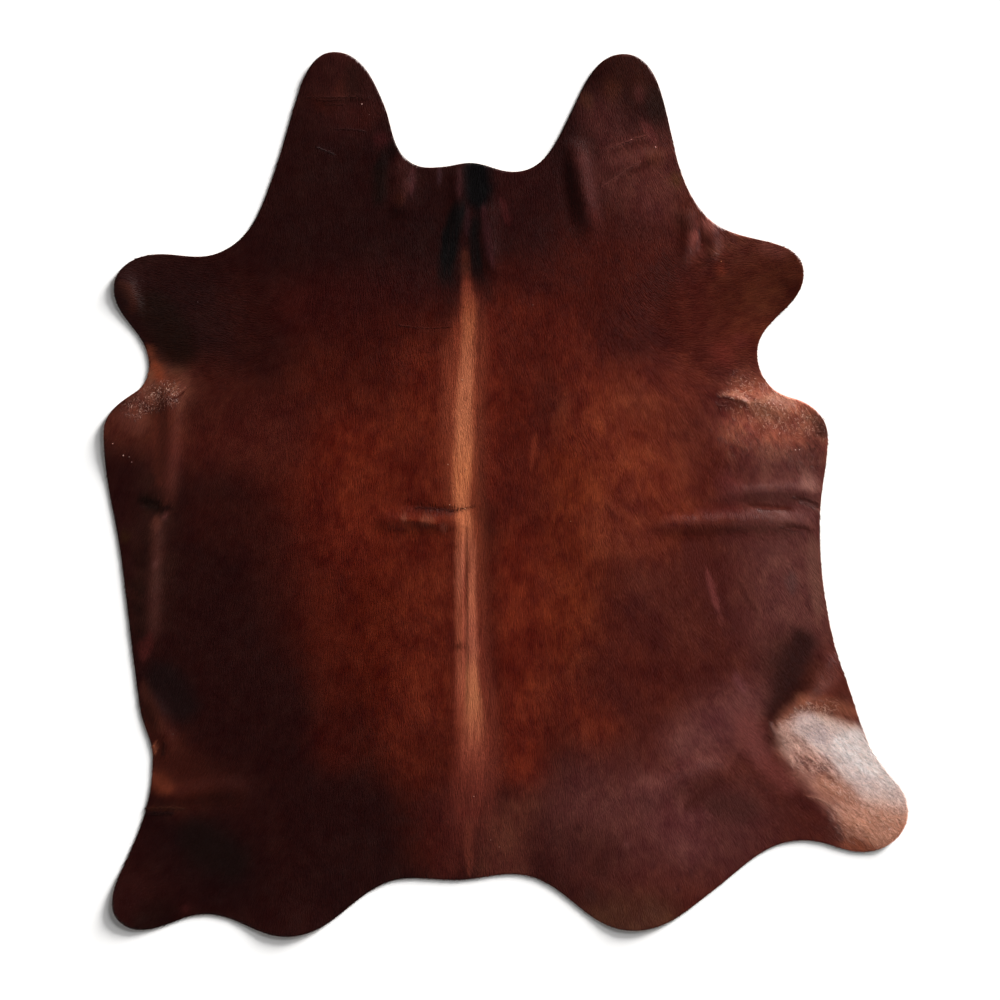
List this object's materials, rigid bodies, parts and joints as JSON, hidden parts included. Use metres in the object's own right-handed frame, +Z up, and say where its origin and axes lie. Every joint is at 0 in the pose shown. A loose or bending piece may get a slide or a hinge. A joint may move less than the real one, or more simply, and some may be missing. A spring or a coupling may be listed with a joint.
{
  "type": "hair-on leather hide rug",
  "caption": "Whole cow hide tanned with its hair on, trimmed to its natural outline and lying flat as a floor rug.",
  "frame": {"origin": "on the floor, under the middle of the hide's box", "axes": "+Z up out of the hair side, +Y along the back line towards the neck, +X towards the right foreleg as seen from above with the neck away from the viewer"},
  "size_m": [2.01, 2.212, 0.015],
  "materials": {
    "hair_on_hide": "short glossy hair lying flat on tanned leather, near black brown to red brown, with a tan stripe along the back"
  },
  "bodies": {
    "root": {"hide": "hair_on_hide"}
  },
  "joints": []
}
